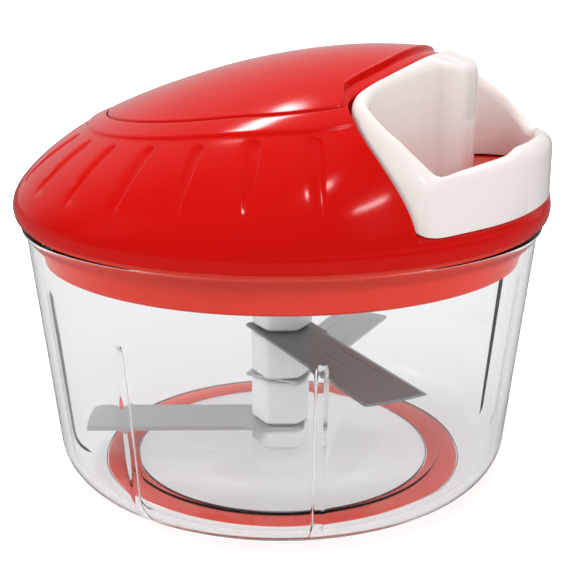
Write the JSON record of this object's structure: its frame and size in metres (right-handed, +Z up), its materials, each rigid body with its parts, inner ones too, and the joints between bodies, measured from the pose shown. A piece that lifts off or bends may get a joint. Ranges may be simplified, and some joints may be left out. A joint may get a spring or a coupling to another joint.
{
  "type": "pull-cord food chopper",
  "caption": "Hand-powered food chopper: a clear bowl under a domed red lid whose pull handle and cord spin a hub with three blades.",
  "frame": {"origin": "centre of the anti-slip ring at its underside, on the blade axis", "axes": "+Z up along the blade axis, +X the way the handle is pulled out, +Y completes the right-handed frame"},
  "size_m": [0.1249, 0.1246, 0.1024],
  "materials": {
    "lid_red": "high gloss",
    "soft_red": "satin",
    "bowl_clear": "clear, polished",
    "handle_white": "gloss",
    "white_plastic": "satin",
    "dark_plastic": "satin",
    "steel": "fine brushed",
    "cord": "braided"
  },
  "bodies": {
    "bowl": {"bowl": "bowl_clear", "base_ring": "soft_red", "pivot_pin": "steel"},
    "blades": {"hub_core": "white_plastic", "lower_collar": "white_plastic", "upper_collar": "white_plastic", "top_collar": "white_plastic", "lower_blade": "steel", "middle_blade": "steel", "upper_blade": "steel"},
    "lid": {"lid_base": "lid_red", "lid_seal": "soft_red", "lid_dome": "lid_red", "top_panel": "lid_red", "lid_screw_1": "steel", "lid_screw_2": "steel", "lid_screw_3": "steel", "lid_screw_4": "steel", "drive_bush": "white_plastic", "reel_axle": "steel", "spring_arbor": "steel", "cord_guide": "white_plastic"},
    "drive": {"drive_spindle": "white_plastic", "ratchet_ring": "dark_plastic", "thrust_washer": "steel"},
    "reel": {"reel": "white_plastic", "cord_winding": "cord", "return_spring": "steel", "spring_cover": "dark_plastic", "pawl_pin_1": "steel", "pawl_pin_2": "steel"},
    "pawl_1": {"pawl_1": "dark_plastic"},
    "pawl_2": {"pawl_2": "dark_plastic"},
    "handle": {"pull_handle": "handle_white", "cord_knot": "cord", "pull_cord": "cord"}
  },
  "joints": [
    {"name": "lid_lift", "type": "slide", "parent": "bowl", "child": "lid", "axis": [0, 0, 1], "range_m": [0, 0.08]},
    {"name": "blade_spin", "type": "hinge", "parent": "bowl", "child": "blades", "pos_m": [0, 0, 0.01], "axis": [0, 0, 1], "range_deg": [0, 1084]},
    {"name": "handle_pull", "type": "slide", "parent": "lid", "child": "handle", "axis": [1, 0, 0], "range_m": [0, 0.35], "stiffness_N_per_m": 15, "springref_m": -0.15, "deforming": ["pull_cord"]},
    {"name": "drive_spin", "type": "hinge", "parent": "lid", "child": "drive", "pos_m": [0, 0, 0.056], "axis": [0, 0, 1], "range_deg": [0, 1084]},
    {"name": "reel_spin", "type": "hinge", "parent": "lid", "child": "reel", "pos_m": [0, 0, 0.07], "axis": [0, 0, 1], "range_deg": [0, 1084], "deforming": ["return_spring"]},
    {"name": "pawl_1_swing", "type": "hinge", "parent": "reel", "child": "pawl_1", "pos_m": [0.0106, 0, 0.0626], "axis": [0, 0, 1], "range_deg": [0, 15], "stiffness_Nm_per_rad": 0.00002, "springref_deg": -17.19},
    {"name": "pawl_2_swing", "type": "hinge", "parent": "reel", "child": "pawl_2", "pos_m": [-0.0106, 0, 0.0626], "axis": [0, 0, 1], "range_deg": [0, 15], "stiffness_Nm_per_rad": 0.00002, "springref_deg": -17.19}
  ],
  "couplings": [
    {"joint": "reel_spin", "follows": "handle_pull", "rad_per_m": 54.05},
    {"joint": "drive_spin", "follows": "handle_pull", "rad_per_m": 54.05},
    {"joint": "blade_spin", "follows": "handle_pull", "rad_per_m": 54.05}
  ]
}
